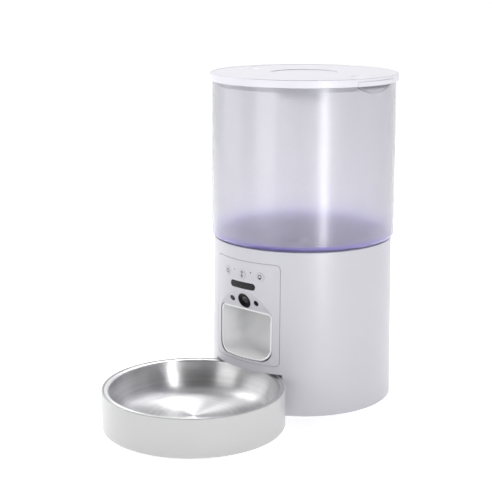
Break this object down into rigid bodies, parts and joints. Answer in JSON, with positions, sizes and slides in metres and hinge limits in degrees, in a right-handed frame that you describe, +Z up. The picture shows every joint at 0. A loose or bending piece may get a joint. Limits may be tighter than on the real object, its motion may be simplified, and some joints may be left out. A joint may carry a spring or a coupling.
{
  "type": "automatic pet feeder",
  "caption": "Automatic pet feeder: a round base with dosing rotor, camera and outlet, a clear lidded food hopper on top, and a steel bowl in a docked tray.",
  "frame": {"origin": "on the base's axis, at the surface it stands on", "axes": "+Z up, the outlet and the bowl face -Y, +X to the right seen from the front"},
  "size_m": [0.19, 0.344, 0.3345],
  "materials": {
    "white_shell": "satin moulded",
    "white_panel": "satin moulded",
    "lid_white": "satin gloss",
    "tray_white": "satin gloss",
    "chute_white": "polished",
    "tinted_clear": "clear, frosted inside",
    "bowl_steel": "spun",
    "black_gloss": "polished",
    "lens_glass": "coated",
    "button_white": "satin",
    "light_clear": "clear",
    "rubber_grey": "matte",
    "silicone": "matte",
    "inner_plastic": "moulded",
    "rotor_plastic": "moulded",
    "gear_plastic": "acetal",
    "steel": "turned",
    "brass": "sintered",
    "board_green": "solder mask",
    "chip_black": "moulded",
    "cell_wrap": "printed wrap"
  },
  "bodies": {
    "base": {"base_shell": "white_shell", "base_plate": "inner_plastic", "foot_ring": "rubber_grey", "plate_screws": "steel", "front_panel": "white_panel", "chute": "chute_white", "camera_bezel": "black_gloss", "camera_lens": "lens_glass", "camera_housing": "chip_black", "camera_board": "chip_black", "infrared_lamps": "black_gloss", "sensor_window": "black_gloss", "status_light": "light_clear", "microphone": "black_gloss", "button_board": "board_green", "rotor_cup": "inner_plastic", "cup_screws": "steel", "portion_baffle": "silicone", "shaft_bush": "brass", "shaft_seal": "silicone", "idler_pin": "steel", "drive_motor": "steel", "gearbox_housing": "inner_plastic", "gearbox_cover": "inner_plastic", "gearbox_screws": "steel", "control_board": "board_green", "board_chips": "chip_black", "speaker": "chip_black", "power_jack": "chip_black", "battery_box": "inner_plastic", "battery_cells": "cell_wrap", "contact_plates": "steel", "contact_springs": "steel", "hopper_seal": "silicone"},
    "hopper": {"hopper": "tinted_clear"},
    "lid": {"lid_top": "lid_white", "lid_liner": "inner_plastic", "lid_gasket": "silicone", "lid_screws": "steel", "desiccant_box": "inner_plastic"},
    "latch_left": {"latch_left": "lid_white"},
    "latch_right": {"latch_right": "lid_white"},
    "desiccant_cover": {"desiccant_cover": "inner_plastic"},
    "rotor": {"metering_rotor": "rotor_plastic", "agitator": "rotor_plastic", "drive_shaft": "steel", "output_gear": "gear_plastic"},
    "idler": {"idler_gear": "gear_plastic"},
    "motor": {"motor_pinion": "brass", "motor_shaft": "steel"},
    "power_button": {"power_button": "button_white"},
    "wifi_button": {"wifi_button": "button_white"},
    "feed_button": {"feed_button": "button_white"},
    "battery_door": {"battery_door": "inner_plastic"},
    "tray": {"bowl_tray": "tray_white", "tray_feet": "rubber_grey"},
    "bowl": {"steel_bowl": "bowl_steel"}
  },
  "joints": [
    {"name": "hopper_lift", "type": "slide", "parent": "base", "child": "hopper", "axis": [0, 0, 1], "range_m": [0, 0.06]},
    {"name": "lid_lift", "type": "slide", "parent": "hopper", "child": "lid", "axis": [0, 0, 1], "range_m": [0, 0.05]},
    {"name": "latch_left_press", "type": "slide", "parent": "lid", "child": "latch_left", "axis": [1, 0, 0], "range_m": [0, 0.0014], "stiffness_N_per_m": 1500, "springref_m": -0.001},
    {"name": "latch_right_press", "type": "slide", "parent": "lid", "child": "latch_right", "axis": [-1, 0, 0], "range_m": [0, 0.0014], "stiffness_N_per_m": 1500, "springref_m": -0.001},
    {"name": "desiccant_cover_turn", "type": "hinge", "parent": "lid", "child": "desiccant_cover", "pos_m": [0, 0, 0.311], "axis": [0, 0, 1], "range_deg": [0, 30]},
    {"name": "rotor_spin", "type": "hinge", "parent": "base", "child": "rotor", "pos_m": [0, 0, 0.124], "axis": [0, 0, 1], "continuous": true},
    {"name": "idler_spin", "type": "hinge", "parent": "base", "child": "idler", "pos_m": [0, 0.024, 0.11], "axis": [0, 0, 1], "continuous": true},
    {"name": "motor_spin", "type": "hinge", "parent": "base", "child": "motor", "pos_m": [0, 0.044, 0.11], "axis": [0, 0, 1], "continuous": true},
    {"name": "power_press", "type": "slide", "parent": "base", "child": "power_button", "axis": [0.2385, 0.9711, 0], "range_m": [0, 0.0008], "stiffness_N_per_m": 1500, "springref_m": -0.0005},
    {"name": "wifi_press", "type": "slide", "parent": "base", "child": "wifi_button", "axis": [0, 1, 0], "range_m": [0, 0.0008], "stiffness_N_per_m": 1500, "springref_m": -0.0005},
    {"name": "feed_press", "type": "slide", "parent": "base", "child": "feed_button", "axis": [-0.2385, 0.9711, 0], "range_m": [0, 0.0008], "stiffness_N_per_m": 1500, "springref_m": -0.0005},
    {"name": "battery_door_swing", "type": "hinge", "parent": "base", "child": "battery_door", "pos_m": [0, 0.0613, 0.0028], "axis": [1, 0, 0], "range_deg": [0, 90]},
    {"name": "tray_slide", "type": "slide", "parent": "base", "child": "tray", "axis": [0, -1, 0], "range_m": [0, 0.09]},
    {"name": "bowl_lift", "type": "slide", "parent": "tray", "child": "bowl", "axis": [0, 0, 1], "range_m": [0, 0.0022]}
  ],
  "couplings": [
    {"joint": "idler_spin", "follows": "rotor_spin", "ratio": -3},
    {"joint": "motor_spin", "follows": "rotor_spin", "ratio": 9.5}
  ]
}
